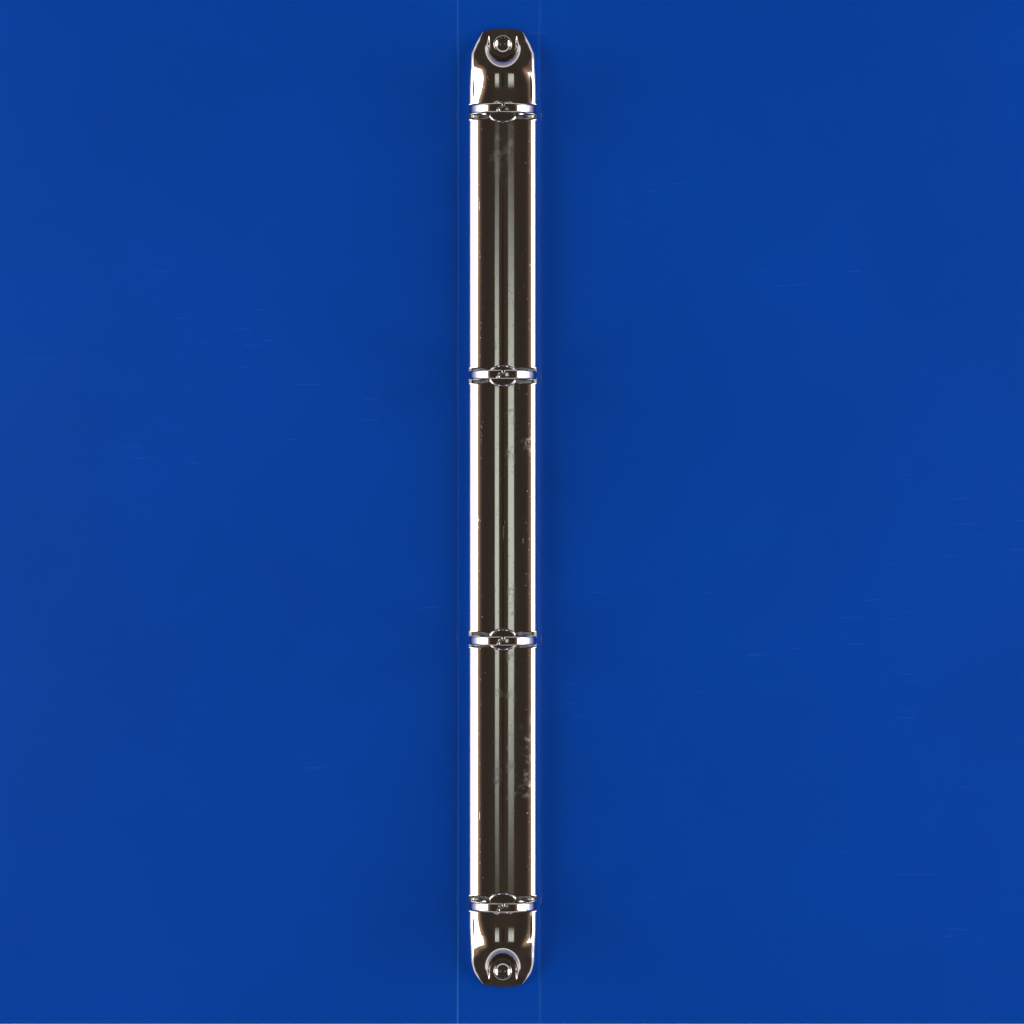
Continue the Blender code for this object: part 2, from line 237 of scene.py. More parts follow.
class Wire:
    """An output socket. Arithmetic on it adds Math nodes to its tree."""

    def __init__(self, nodes, socket):
        self.nodes = nodes
        self.socket = socket

    def _math(self, operation, first, second):
        return self.nodes.add("ShaderNodeMath", {"operation": operation}, {0: first, 1: second})

    def __add__(self, other):
        return self._math("ADD", self, other)

    __radd__ = __add__

    def __sub__(self, other):
        return self._math("SUBTRACT", self, other)

    def __rsub__(self, other):
        return self._math("SUBTRACT", other, self)

    def __mul__(self, other):
        return self._math("MULTIPLY", self, other)

    __rmul__ = __mul__

    def __truediv__(self, other):
        return self._math("DIVIDE", self, other)

    def __rtruediv__(self, other):
        return self._math("DIVIDE", other, self)

    def __pow__(self, other):
        return self._math("POWER", self, other)


class Nodes:
    """The nodes of one material or world."""

    def __init__(self, tree):
        self.tree = tree
        tree.nodes.clear()

    def add(self, kind, settings=None, values=None, output=0):
        """A node of this kind, as the Wire of one of its outputs. Settings come first, then each input's
        value or link. A setting named stops is a colour ramp's list of (place, colour)."""
        node = self.tree.nodes.new(kind)
        for name, value in (settings or {}).items():
            if name == "stops":
                self._set_stops(node.color_ramp, value)
            else:
                setattr(node, name, value)
        for name, value in (values or {}).items():
            if isinstance(value, Wire):
                self.tree.links.new(value.socket, node.inputs[name])
            else:
                node.inputs[name].default_value = value
        return Wire(self, node.outputs[output]) if len(node.outputs) else None

    @staticmethod
    def _set_stops(ramp, stops):
        while len(ramp.elements) < len(stops):
            ramp.elements.new(1.0)
        for element, (place, colour) in zip(ramp.elements, stops):
            element.position = place
            element.color = (*colour, 1)

    def place(self):
        return self.add("ShaderNodeTexCoord", output="Object")

    def stretched(self, vector, x, y, z):
        """The vector times (x, y, z)."""
        return self.add("ShaderNodeVectorMath", {"operation": "MULTIPLY"}, {0: vector, 1: (x, y, z)})

    def noise(self, vector, size, detail=2.0, roughness=0.5, distortion=0.0):
        """Smooth noise from 0 to 1 whose features are about size metres across."""
        values = {
            "Vector": vector,
            "Scale": 1 / size,
            "Detail": detail,
            "Roughness": roughness,
            "Distortion": distortion,
        }
        return self.add("ShaderNodeTexNoise", None, values, "Fac")

    def ramp(self, value, low, high):
        """0 where the value is below low, 1 where it is above high, and a smooth step between."""
        values = {"Value": value, "From Min": low, "From Max": high}
        return self.add("ShaderNodeMapRange", {"interpolation_type": "SMOOTHSTEP"}, values, "Result")

    def mix(self, share, first, second):
        """Colour first where the share is 0 and second where it is 1."""
        values = {0: share, 6: first, 7: second}
        return self.add("ShaderNodeMix", {"data_type": "RGBA"}, values, 2)

    def bump(self, height, distance, strength=1.0):
        """A normal from a height of 0 to 1 that stands for distance metres."""
        values = {"Height": height, "Distance": distance, "Strength": strength}
        return self.add("ShaderNodeBump", None, values, "Normal")

    def size_of(self, value):
        """The value without its sign."""
        return self.add("ShaderNodeMath", {"operation": "ABSOLUTE"}, {0: value})

    def attribute(self, name):
        return self.add("ShaderNodeAttribute", {"attribute_name": name}, None, "Fac")


def new_material(name):
    made = bpy.data.materials.new(name)
    made.use_nodes = True
    return made, Nodes(made.node_tree)


def finish_material(nodes, values):
    shader = nodes.add("ShaderNodeBsdfPrincipled", None, values, "BSDF")
    nodes.add("ShaderNodeOutputMaterial", None, {"Surface": shader})


def opaque(colour):
    return (*colour, 1.0)


def blue_plastic(colours):
    """Satin polypropylene sheet with a fine grain, faint haze and rubs, and a painted highlight along its
    hinge lines, border line and cut edge.
    """
    made = bpy.data.materials.get("blue_plastic_sheet")
    if made:
        return made
    made, nodes = new_material("blue_plastic_sheet")
    place = nodes.place()
    grain = nodes.noise(place, 0.35 * MM, detail=3, roughness=0.6)
    cloud = nodes.noise(place, 90 * MM, detail=3, roughness=0.55)
    haze = nodes.noise(place, 9 * MM, detail=5, roughness=0.6)
    rub_lines = nodes.noise(nodes.stretched(place, 60, 900, 60), 1.0, detail=2)
    rubs = nodes.ramp(rub_lines, 0.66, 0.74) * nodes.ramp(cloud, 0.48, 0.62)
    dust = nodes.ramp(nodes.noise(place, 1.1 * MM, detail=0), 0.80, 0.84)
    body = nodes.mix(
        nodes.ramp(cloud, 0.3, 0.7) * 0.6 + haze * 0.3,
        opaque([c * 0.93 for c in colours.plastic]),
        opaque([c * 1.07 for c in colours.plastic]),
    )
    dusty = nodes.mix(dust * 0.03 + rubs * 0.01, body, (0.45, 0.55, 0.75, 1))
    # The attribute mixed in here is a painted highlight: lighter blue at the hinge lines, the border line
    # and the cut edge.
    colour = nodes.mix(nodes.attribute("pale"), dusty, opaque(colours.plastic_highlight))
    values = {
        "Base Color": colour,
        "Roughness": 0.19 + haze * 0.06 + rubs * 0.1,
        "Normal": nodes.bump(grain + haze * 0.6, 0.004 * MM, 0.7),
    }
    finish_material(nodes, values)
    return made


def nickel_plate(colours, name, smudged):
    """Bright nickel with faint drawing lines along the spine, fine scratches, and smudges from handling."""
    made, nodes = new_material(name)
    place = nodes.place()
    patches = nodes.noise(place, 22 * MM, detail=4, roughness=0.6, distortion=0.4)
    prints = nodes.noise(place, 2.2 * MM, detail=4, roughness=0.65)
    smudges = nodes.ramp(patches, 0.55, 0.72) * nodes.ramp(prints, 0.42, 0.62) * smudged
    lines = nodes.noise(nodes.stretched(place, 2600, 14, 2600), 1.0, detail=2)
    scratch_field = nodes.noise(nodes.stretched(place, 700, 60, 700), 1.0, detail=3, distortion=0.6)
    scratches = nodes.ramp(scratch_field, 0.70, 0.74)
    pits = nodes.ramp(nodes.noise(place, 0.5 * MM, detail=0), 0.78, 0.84)
    wave = nodes.noise(nodes.stretched(place, 120, 22, 120), 1.0, detail=1)
    colour = nodes.mix(smudges * 0.7 + pits * 0.5, opaque(colours.nickel), opaque(colours.tarnish))
    relief = lines * 0.10 + wave * 2.0 - scratches * 0.5 - pits * 0.6
    values = {
        "Base Color": colour,
        "Metallic": 1.0,
        "Roughness": 0.045 + lines * 0.03 + smudges * 0.22 + scratches * 0.12,
        "Normal": nodes.bump(relief, 0.010 * MM),
    }
    finish_material(nodes, values)
    return made


def plated_steel(colours):
    """Dull plated steel with rolling lines across it."""
    made, nodes = new_material("plated_steel_rail")
    place = nodes.place()
    lines = nodes.noise(nodes.stretched(place, 60, 1800, 60), 1.0, detail=3)
    spots = nodes.noise(place, 3 * MM, detail=4)
    colour = nodes.mix(spots, opaque([c * 0.8 for c in colours.steel]), opaque(colours.steel))
    values = {
        "Base Color": colour,
        "Metallic": 1.0,
        "Roughness": 0.12 + lines * 0.08 + spots * 0.06,
        "Normal": nodes.bump(lines, 0.01 * MM),
    }
    finish_material(nodes, values)
    return made


# ---------------------------------------------------------------- meshes


def smooth_step(share):
    """The share held between 0 and 1, then three times its square less twice its cube."""
    share = np.clip(share, 0.0, 1.0)
    return share * share * (3 - 2 * share)


def hump(distance, half_width):
    """1 in the middle, 0 past half_width, and half of one plus the cosine between."""
    return np.where(np.abs(distance) < half_width, (1 + np.cos(np.pi * distance / half_width)) / 2, 0.0)


BLADE_TILT = math.radians(6)  # each closed blade's slope
FOOT_FROM_PIVOT = 2.6 * MM  # from a blade's hinge to the feet of its rings
CLEARANCE = 0.05 * MM  # between pieces that rest on each other
RIVET_HOLE = 2.3 * MM  # radius of the housing's hole for a rivet
END_BLEND = 14 * MM  # length over which the crown drops towards each end
JOINT_FADE = 3 * MM  # length over which a ring's joint fades out along the wire
# Distance from the end, depth and half width in mm of each drawn side, by end and side
DRAWN_SIDES = {
    (1, -1): (15.8, 0.55, 5.6),
    (1, 1): (12.3, 0.45, 3.3),
    (-1, -1): (13.5, 0.56, 4.3),
    (-1, 1): (11.9, 0.52, 3.7),
}
# Share of the way across the recess's wall, and its steepness there
WALL_SLOPES = (
    (0.0, 0.06, 0.2, 0.34, 0.42, 0.72, 0.81, 0.90, 1.0),
    (0.0, 3.2, 2.9, 1.35, 0.88, 0.78, 0.40, 0.14, 0.0),
)


def grid_faces(rows, columns, round_columns=False):
    """Quads of a grid of vertices numbered row by row. Round columns join the last column to the first."""
    i = np.arange(rows - 1)[:, None]
    j = np.arange(columns if round_columns else columns - 1)[None, :]
    after = (j + 1) % columns
    corners = (i * columns + j, (i + 1) * columns + j, (i + 1) * columns + after, i * columns + after)
    return np.stack(np.broadcast_arrays(*corners), -1).reshape(-1, 4)


def make_piece(name, points, face_groups, material, sharp_angle=40, values=None):
    """An object of these groups of faces, smooth but for edges sharper than sharp_angle degrees. Vertices
    that no face uses are left out. Values are point attributes, one number a vertex."""
    used = np.unique(np.concatenate([group.ravel() for group in face_groups]))
    faces = [face for group in face_groups for face in np.searchsorted(used, group).tolist()]
    mesh = bpy.data.meshes.new(name)
    mesh.from_pydata(points.reshape(-1, 3)[used].tolist(), [], faces)
    for value_name, numbers_there in (values or {}).items():
        attribute = mesh.attributes.new(value_name, "FLOAT", "POINT")
        attribute.data.foreach_set("value", numbers_there.reshape(-1)[used].astype(np.float32))
    mesh.materials.append(material)
    mesh.shade_smooth()
    mesh.set_sharp_from_angle(angle=math.radians(sharp_angle))
    made = bpy.data.objects.new(name, mesh)
    bpy.context.scene.collection.objects.link(made)
    return made


def slab(name, x, y, top, bottom, material, values):
    """A closed plate between two heights over the same grid of places, whose first index runs along +X and
    second along +Y. Its walls join the two grids along their outline."""
    rows, columns = x.shape
    layer = rows * columns
    points = np.concatenate([np.stack([x, y, z], -1).reshape(-1, 3) for z in (top, bottom)])
    upper = grid_faces(rows, columns)
    lower = upper[:, ::-1] + layer
    number = np.arange(layer).reshape(rows, columns)
    outline = np.concatenate([number[:-1, 0], number[-1, :-1], number[:0:-1, -1], number[0, :0:-1]])
    after = np.roll(outline, -1)
    walls = np.stack([outline + layer, after + layer, after, outline], -1)
    doubled = {key: np.concatenate([value.ravel()] * 2) for key, value in values.items()}
    return make_piece(name, points, [upper, lower, walls], material, values=doubled)


# ---------------------------------------------------------------- plastic sheet


def depth_lines(sheet):
    """Depths from the cut edge that hold a line of vertices: round the edge, across the border line and
    on through the rounded corner."""
    edge = sheet.edge_radius * (1 - np.cos(np.linspace(0, np.pi / 2, 6)))
    border = sheet.border_inset + sheet.border_width * np.linspace(-1, 1, 9)
    corner = np.linspace(2 * MM, sheet.corner_radius, 10)
    return np.concatenate([edge, border, corner])


def spine_lines(sheet):
    """Places along Y from the bottom edge to the top edge, and the depth of each from the nearer edge."""
    near = depth_lines(sheet)
    low, high = SPINE_LOW.y, SPINE_HIGH.y
    middle = np.linspace(low + near[-1], high - near[-1], 40)[1:-1]
    y = np.concatenate([low + near, middle, high - near[::-1]])
    return y, np.minimum(y - low, high - y)


def edge_half_thickness(depth, thick, radius):
    """Half the thickness at a depth from the cut edge: the edge is a quarter of a circle on each face."""
    inside = np.clip(radius - depth, 0, radius)
    return thick / 2 - radius + np.sqrt(radius * radius - inside * inside)


def border_share(sheet, depth):
    return hump(depth - sheet.border_inset, sheet.border_width)


def sheet_heights(sheet, depth, thick):
    """Top and bottom of the sheet, and its painted highlight on the border line and cut edge, from the depth
    inside its cut edge.
    """
    half = edge_half_thickness(depth, thick, sheet.edge_radius)
    line = border_share(sheet, depth)
    top = SHEET_MIDDLE + half - sheet.border_depth * line
    # Painted highlight: a faint line on the pressed border and a brighter glow on the rounded cut edge.
    pale = 0.16 * line + 0.30 * (1 - smooth_step(depth / sheet.edge_radius))
    return top, SHEET_MIDDLE - half, pale


def round_corner(a, b, radius):
    """Moves places given by their depths a and b from two edges so that each square line of equal depth
    becomes an arc about the point at (radius, radius)."""
    depth = np.minimum(a, b)
    corner = (a < radius) & (b < radius)
    left = np.where(corner, radius - depth, 1.0)
    turn = np.where(a < b, 0.5 * (radius - b) / left, 1 - 0.5 * (radius - a) / left) * np.pi / 2
    return (
        np.where(corner, radius - left * np.cos(turn), a),
        np.where(corner, radius - left * np.sin(turn), b),
    )


def build_cover(end, sheet, material):
    """One cover, from its hinge strip to its outer edge, with two rounded corners."""
    side = COVERS[end]
    low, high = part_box(end + "_cover")
    outer = low.x if side < 0 else high.x
    inner = COVER_HINGES[end].x + side * sheet.hinge_half_width
    near = depth_lines(sheet)
    span = abs(outer - inner)
    across = np.concatenate([near, np.linspace(near[-1], span, 14)[1:]])
    y_line, _ = spine_lines(sheet)
    from_side, y = np.meshgrid(across, y_line, indexing="ij")
    from_end = np.minimum(y - SPINE_LOW.y, SPINE_HIGH.y - y)
    depth = np.minimum(from_side, from_end)
    moved_side, moved_end = round_corner(from_side, from_end, sheet.corner_radius)
    y = np.where(y < 0, SPINE_LOW.y + moved_end, SPINE_HIGH.y - moved_end)
    x = outer - side * moved_side
    top, bottom, pale = sheet_heights(sheet, depth, SHEET_THICK)
    x, y, top, bottom, pale = (grid[::-side] for grid in (x, y, top, bottom, pale))
    cover = slab(end + "_cover_sheet", x, y, top, bottom, material, {"pale": pale})
    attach(cover, end + "_cover")
    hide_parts(end + "_cover")


def build_spine(sheet, material):
    """The flat panel under the mechanism, between the two hinge strips."""
    inner = [COVER_HINGES[end].x - side * sheet.hinge_half_width for end, side in COVERS.items()]
    y_line, depth_line = spine_lines(sheet)
    x, y = np.meshgrid(np.linspace(*inner, 13), y_line, indexing="ij")
    depth = np.broadcast_to(depth_line, x.shape)
    top, bottom, pale = sheet_heights(sheet, depth, SHEET_THICK)
    spine = slab("spine_sheet", x, y, top, bottom, material, {"pale": pale})
    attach(spine, "spine")
    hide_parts("spine_panel")


def build_hinge(end, sheet, material):
    """The strip that bends between the spine and one cover: the sheet with a rounded groove on each face.
    The groove is half of one plus the cosine of the distance from the hinge line."""
    side = COVERS[end]
    groove_width = sheet.front_groove if side < 0 else sheet.back_groove
    y_line, depth_line = spine_lines(sheet)
    offset_line = sheet.hinge_half_width * np.linspace(-1, 1, 33)
    offset, y = np.meshgrid(offset_line, y_line, indexing="ij")
    depth = np.broadcast_to(depth_line, offset.shape)
    groove = hump(offset, groove_width)
    top, bottom, pale = sheet_heights(sheet, depth, SHEET_THICK)
    cut = (SHEET_THICK - sheet.hinge_thick) * groove
    # Painted highlight along the hinge groove. It is brightest towards the bottom end, less at the top and
    # faint between, and much stronger on the front hinge than on the back one.
    share = y / SPINE_HIGH.y
    groove_highlight = np.where(share < 0, np.abs(share) ** 3, 0.5 * np.abs(share) ** 2) + 0.10
    pale = np.maximum(pale, groove_highlight * groove**2 * (0.9 if side < 0 else 0.2))
    bend = slab(
        end + "_hinge_strip",
        COVER_HINGES[end].x + offset,
        y,
        top - 0.15 * cut,
        np.minimum(bottom + 0.85 * cut, top - 0.15 * cut - 0.2 * MM),
        material,
        {"pale": pale},
    )
    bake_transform(bend)
    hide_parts(end + "_hinge_web")


# ---------------------------------------------------------------- housing


def housing_rows():
    """Places along Y, from the middle of the mechanism, that hold a row of vertices: close together over
    both pressed ends and round every ring, wider apart between."""
    pressed = np.linspace(HALF_LENGTH - 16 * MM, HALF_LENGTH, 76)
    rows = [pressed, -pressed]
    round_ring = np.concatenate([np.linspace(0, 2.3, 15), np.linspace(2.3, 4.3, 9)[1:], [5, 6, 7.5]]) * MM
    for place in RING_PLACES:
        rows += [place - MECHANISM_Y + round_ring, place - MECHANISM_Y - round_ring]
    rows.append(np.arange(-110, 111, 5) * MM)
    return np.unique(np.round(np.concatenate(rows), 7))


def half_width_at(housing, y):
    """Half the housing's width: full along its length, drawn in over each end by a power of the distance
    left to the end. The bottom end is rounder than the top one."""
    from_end = HALF_LENGTH - np.abs(y)
    left = np.clip(from_end / housing.end_taper, 0, 1)
    power = np.where(y > 0, 1.12, 1.7)
    cut = (HALF_WIDTH - housing.end_swell - housing.end_half_width) * (1 - (1 - left) ** power)
    swell = housing.end_swell * smooth_step((from_end - 3 * MM) / (16 * MM))
    return housing.end_half_width + cut + swell


def crown_radius_at(housing, side, y):
    """Radius of the crown: greater on the right, and greater still over the cut corners."""
    from_end = HALF_LENGTH - np.abs(y)
    radius = np.where(side < 0, housing.crown_radius_left, housing.crown_radius_right)
    return radius + 12 * MM * (1 - smooth_step(from_end / (11 * MM)))


def drawn_sides(side, x, y):
    """How far the sides of the crown are drawn down between each recess and the nearest ring: a bell curve
    of the distance from the end, times a smooth step from near the middle line outwards."""
    from_end = HALF_LENGTH - np.abs(y)
    drawn = np.zeros_like(y)
    for (end, hand), (middle, depth, width) in DRAWN_SIDES.items():
        bell = depth * MM * np.exp(-(((from_end - middle * MM) / (width * MM)) ** 2))
        start = (3.0 + 0.5 * hand) * MM
        outward = smooth_step((x - start) / (6 * MM))
        drawn = drawn + np.where((side == hand) & (y * end > 0), bell * outward, 0.0)
    return drawn


def crown_angle_at(housing, half_width, crown_radius):
    """Angle from the middle line at which the crown arc meets the shoulder arc."""
    shoulder = housing.shoulder_radius
    return np.arcsin((half_width - shoulder) / (crown_radius - shoulder))


def arch(housing, u, half_width, crown_radius):
    """One side of the skin, as x from the middle line and z above the sheet. Along u it is the crown arc
    from 0 to 1, the shoulder arc that turns to vertical from 1 to 2, the wall down to the foot from 2 to 3,
    and the foot's round and lip from 3 to 4."""
    height = HOUSING_HIGH.z - SHEET_TOP
    shoulder = housing.shoulder_radius
    crown_angle = crown_angle_at(housing, half_width, crown_radius)
    crown_z = height - crown_radius
    pivot_z = crown_z + (crown_radius - shoulder) * np.cos(crown_angle)
    foot = housing.thickness
    angle = crown_angle * np.clip(u, 0, 1)
    x = crown_radius * np.sin(angle)
    z = crown_z + crown_radius * np.cos(angle)
    turn = crown_angle + (np.pi / 2 - crown_angle) * np.clip(u - 1, 0, 1)
    x = np.where(u > 1, half_width - shoulder + shoulder * np.sin(turn), x)
    z = np.where(u > 1, pivot_z + shoulder * np.cos(turn), z)
    z = np.where(u > 2, pivot_z + (foot - pivot_z) * np.clip(u - 2, 0, 1), z)
    curl = np.clip((u - 3) / 0.6, 0, 1) * np.pi / 2
    x = np.where(u > 3, half_width - foot * (1 - np.cos(curl)), x)
    z = np.where(u > 3, foot * (1 - np.sin(curl)) + CLEARANCE, z)
    x = x - np.clip((u - 3.6) / 0.4, 0, 1) * housing.lip_width * 0.5
    return x, z


def pressed_share(housing, x, y, rivet_y):
    """0 on the rivet platform, 1 on the plain arch, and the wall's rise between. The recess's outline is
    half an ellipse towards the middle of the housing and runs straight out at the end. The wall leaves the
    platform steeply, eases to half a right angle and rolls over: its rise is the sum of WALL_SLOPES."""
    inward = np.maximum(0.0, abs(rivet_y) - np.abs(y))
    reach = np.maximum(np.hypot(x, inward), 1e-9)
    outline = reach / np.hypot(x / housing.recess_half_width, inward / housing.recess_reach)
    share = np.clip((reach - housing.floor_radius) / (outline - housing.floor_radius), 0, 1)
    fine = np.linspace(0, 1, 241)
    rise = np.cumsum(np.interp(fine, *WALL_SLOPES))
    return np.interp(share, fine, (rise - rise[0]) / (rise[-1] - rise[0]))


def notch_end(housing, y):
    """x of a notch's inner end at y from its middle: a superellipse, its power between round and square."""
    share = np.clip(np.abs(y) / housing.notch_half_width, 0, 1)
    return housing.notch_root - housing.notch_round * (1 - share**2.6) ** (1 / 2.6)


def housing_skin(housing, columns, rows):
    """Places of the skin's vertices, one row for each y and one column for each u, where u is negative on
    the left. Near a ring the columns inside the notch's end are drawn in to follow its outline."""
    u, y = np.meshgrid(columns, rows)
    side = np.where(u < 0, -1.0, 1.0)
    reach = np.abs(u)
    crown = crown_radius_at(housing, side, y)
    half_width = half_width_at(housing, y)
    crown_angle = crown_angle_at(housing, half_width, crown)
    root_u = np.arcsin(housing.notch_root / crown) / crown_angle
    nearest_ring = np.full_like(y, 1.0)
    for place in RING_PLACES:
        from_ring = y - (place - MECHANISM_Y)
        at_notch = np.abs(from_ring) < housing.notch_half_width
        end_u = np.arcsin(notch_end(housing, from_ring) / crown) / crown_angle
        drawn = np.where(reach <= root_u * 1.0001, reach * end_u / root_u, reach)
        reach = np.where(at_notch, drawn, reach)
        nearest_ring = np.minimum(nearest_ring, np.abs(from_ring))
    x, z = arch(housing, reach, half_width, crown)
    saddle = np.hypot(x / housing.saddle_half_width, nearest_ring / housing.saddle_half_length)
    z = z - housing.saddle_depth * (1 - smooth_step(saddle))
    from_end = HALF_LENGTH - np.abs(y)
    z = z * (1 - housing.end_drop * (1 - smooth_step(from_end / END_BLEND)))
    z = z - housing.end_dip * hump(from_end - 18.5 * MM, 5.5 * MM) * (reach < 1)
    floor = housing.thickness + CLEARANCE
    above = np.maximum(z - floor, 0)
    z = z - np.minimum(drawn_sides(side, x, y), above * 0.4)
    rivet_y = (RIVET_PLACES["top"] - RIVET_PLACES["bottom"]) / 2
    share = pressed_share(housing, x, y, rivet_y)
    z = np.where(z > floor, floor + (z - floor) * share, z)
    near_end = smooth_step((np.abs(y) - rivet_y) / (HOUSING_HIGH.y - MECHANISM_Y - rivet_y))
    across = np.clip(x / housing.end_half_width, 0, 1)
    y = y - np.sign(y) * housing.end_crown * near_end * across**2
    return np.stack([MECHANISM_X + side * x, MECHANISM_Y + y, SHEET_TOP + z], -1)


def housing_columns(housing):
    """Values of u that hold a column of vertices, and the numbers of those at a notch's inner end and at
    the bottom of its side, counted from the middle."""
    crown_angle = float(crown_angle_at(housing, HALF_WIDTH, housing.crown_radius_left))
    root = math.asin(housing.notch_root / housing.crown_radius_left) / crown_angle
    inner = np.linspace(0, root, 19)
    outer = np.linspace(root, 1, 13)[1:]
    shoulder = np.linspace(1, 2, 11)[1:]
    wall = np.linspace(2, 3, 4)[1:]
    foot = np.linspace(3, 4, 9)[1:]
    right = np.concatenate([inner, outer, shoulder, wall, foot])
    return np.concatenate([-right[:0:-1], right]), len(inner) - 1, len(right) - len(foot) - 1


def build_housing(housing, material):
    """The pressed cover of the mechanism: one skin, open at the notches, given its thickness inwards."""
    columns, notch_root, notch_foot = housing_columns(housing)
    rows = housing_rows()
    points = housing_skin(housing, columns, rows)
    faces = grid_faces(len(rows), len(columns))[:, ::-1]
    row, column = np.divmod(np.arange(len(faces)), len(columns) - 1)
    middle_y = (rows[row] + rows[row + 1]) / 2
    middle_column = (len(columns) - 1) / 2
    out = np.abs(column + 0.5 - middle_column)
    keep = np.ones(len(faces), bool)
    for place in RING_PLACES:
        at_notch = np.abs(middle_y - (place - MECHANISM_Y)) < housing.notch_half_width
        keep &= ~(at_notch & (out > notch_root) & (out < notch_foot))
    centre = points.reshape(-1, 3)[faces].mean(1)
    for place in RIVET_PLACES.values():
        keep &= np.hypot(centre[:, 0] - MECHANISM_X, centre[:, 1] - place) > RIVET_HOLE
    shell = make_piece("housing_shell", points, [faces[keep]], material, sharp_angle=60)
    wall = shell.modifiers.new("thickness", "SOLIDIFY")
    wall.thickness = housing.thickness
    wall.offset = -1
    edge = shell.modifiers.new("soft edges", "BEVEL")
    edge.width = 0.14 * MM
    edge.segments = 2
    edge.limit_method = "ANGLE"
    edge.angle_limit = math.radians(60)
    edge.harden_normals = True
    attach(shell, "spine")
    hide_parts("housing")


# ---------------------------------------------------------------- rivets


def rivet_profile(housing):
    """(r, z) round a rivet from the bottom of its bore, up the bore, over the rolled rim, down the shank
    and round the flat head. z is counted from the sheet's top face."""
    bore, rim, shank, head = 1.65 * MM, 2.9 * MM, 2.3 * MM, 4.2 * MM
    seat = housing.thickness + 0.1 * MM
    crest = seat + 0.95 * MM
    head_top = -SHEET_THICK - CLEARANCE
    head_low = -SHEET_TOP
    dish = np.array([[0.01, 0.04], [0.7, 0.06], [1.3, 0.14], [1.6, 0.30]]) * MM
    flare_angle = np.radians(np.linspace(48, 27, 12))
    flare_r = np.linspace(bore, 2.3 * MM, 12)
    steps = np.tan((flare_angle[1:] + flare_angle[:-1]) / 2) * np.diff(flare_r)
    flare_z = crest - 0.03 * MM - np.append(np.cumsum(steps[::-1])[::-1], 0)
    flare = np.stack([flare_r, flare_z], -1)
    turn = np.radians(np.linspace(100, 0, 12))
    roll = 0.5 * MM
    outer = np.stack([rim - roll * (1 - np.cos(turn)), crest - roll * (1 - np.sin(turn))], -1)
    shank_line = np.array([[rim, seat], [shank, seat], [shank, head_top], [head, head_top]])
    soft = 0.25 * MM
    turn = np.linspace(0, np.pi / 2, 6)
    edge = np.stack([head - soft + soft * np.cos(turn), head_low + soft - soft * np.sin(turn)], -1)
    return np.concatenate([dish, flare, outer, shank_line, edge, [[0.01 * MM, head_low]]])


def build_rivets(housing, rings, material):
    """Two hollow rivets, each its profile turned about its own upright axis."""
    profile = rivet_profile(housing)
    turn = np.linspace(0, 2 * np.pi, rings.rivet_steps, endpoint=False)
    radius, height = profile[:, :1], profile[:, 1:]
    k = np.arange(len(turn))
    after = (k + 1) % len(turn)
    start = (len(profile) - 1) * len(turn)
    for end, place in RIVET_PLACES.items():
        x, y = MECHANISM_X + radius * np.cos(turn), place + radius * np.sin(turn)
        points = np.stack([x, y, SHEET_TOP + height + 0 * turn], -1).reshape(-1, 3)
        poles = [[MECHANISM_X, place, SHEET_TOP + profile[row, 1]] for row in (0, -1)]
        first = np.full_like(k, len(points))
        last = np.full_like(k, len(points) + 1)
        groups = [
            grid_faces(len(profile), len(turn), round_columns=True),
            np.stack([k, after, first], -1),
            np.stack([start + after, start + k, last], -1),
        ]
        points = np.concatenate([points, poles])
        rivet = make_piece(f"rivet_{end}_turned", points, groups, material, sharp_angle=50)
        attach(rivet, "spine")
        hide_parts("rivet_" + end)


# ---------------------------------------------------------------- rings


class RingLine:
    """Middle line of a ring half in its own plane, as x, z and a unit normal at a distance s along it: a
    circle from the tip, a bend the other way, and a straight foot square to the closed blade."""

    def __init__(self, rings, side):
        pivot = RAIL_HINGES[side]
        self.centre_z = rings.centre_height
        self.radius = rings.ring_radius
        self.bend_radius = rings.bend_radius
        out = np.array([math.cos(BLADE_TILT), math.sin(BLADE_TILT)])
        self.up = np.array([-out[1], out[0]])
        foot = np.array([abs(pivot.x - MECHANISM_X), pivot.z - SHEET_TOP]) - FOOT_FROM_PIVOT * out
        centre = np.array([0, self.centre_z])
        near = foot + self.bend_radius * out - centre
        half_b = near @ self.up
        c = near @ near - (self.radius + self.bend_radius) ** 2
        bend = near - (half_b + math.sqrt(half_b * half_b - c)) * self.up
        circle_end = math.atan2(bend[1], bend[0])
        self.circle_length = (math.pi / 2 - circle_end) * self.radius
        self.bend = bend + centre
        self.bend_start = circle_end + math.pi
        bend_end = math.atan2(-out[1], -out[0]) % (2 * math.pi)
        self.bend_length = (bend_end - self.bend_start) * self.bend_radius
        self.straight_length = float((self.bend - self.bend_radius * out - foot) @ self.up)

    def at(self, s):
        """x, z and the normal's x and z at the distances s, an array of any shape."""
        angle = math.pi / 2 - s / self.radius
        x, z = self.radius * np.cos(angle), self.centre_z + self.radius * np.sin(angle)
        nx, nz = np.cos(angle), np.sin(angle)
        past = s - self.circle_length
        turn = self.bend_start + np.clip(past, 0, self.bend_length) / self.bend_radius
        bent = past > 0
        x = np.where(bent, self.bend[0] + self.bend_radius * np.cos(turn), x)
        z = np.where(bent, self.bend[1] + self.bend_radius * np.sin(turn), z)
        nx, nz = np.where(bent, -np.cos(turn), nx), np.where(bent, -np.sin(turn), nz)
        down = np.maximum(past - self.bend_length, 0)
        return x - down * self.up[0], z - down * self.up[1], nx, nz


def joint_shape(y, wire_radius, tongue):
    """Where the joint between two halves runs, as x at each y: a smooth S whose ends lie a tongue's length
    to either side of the middle."""
    return tongue * np.tanh(1.5 * y / (0.5 * wire_radius)) * (1 - 0.25 * (y / wire_radius) ** 2)


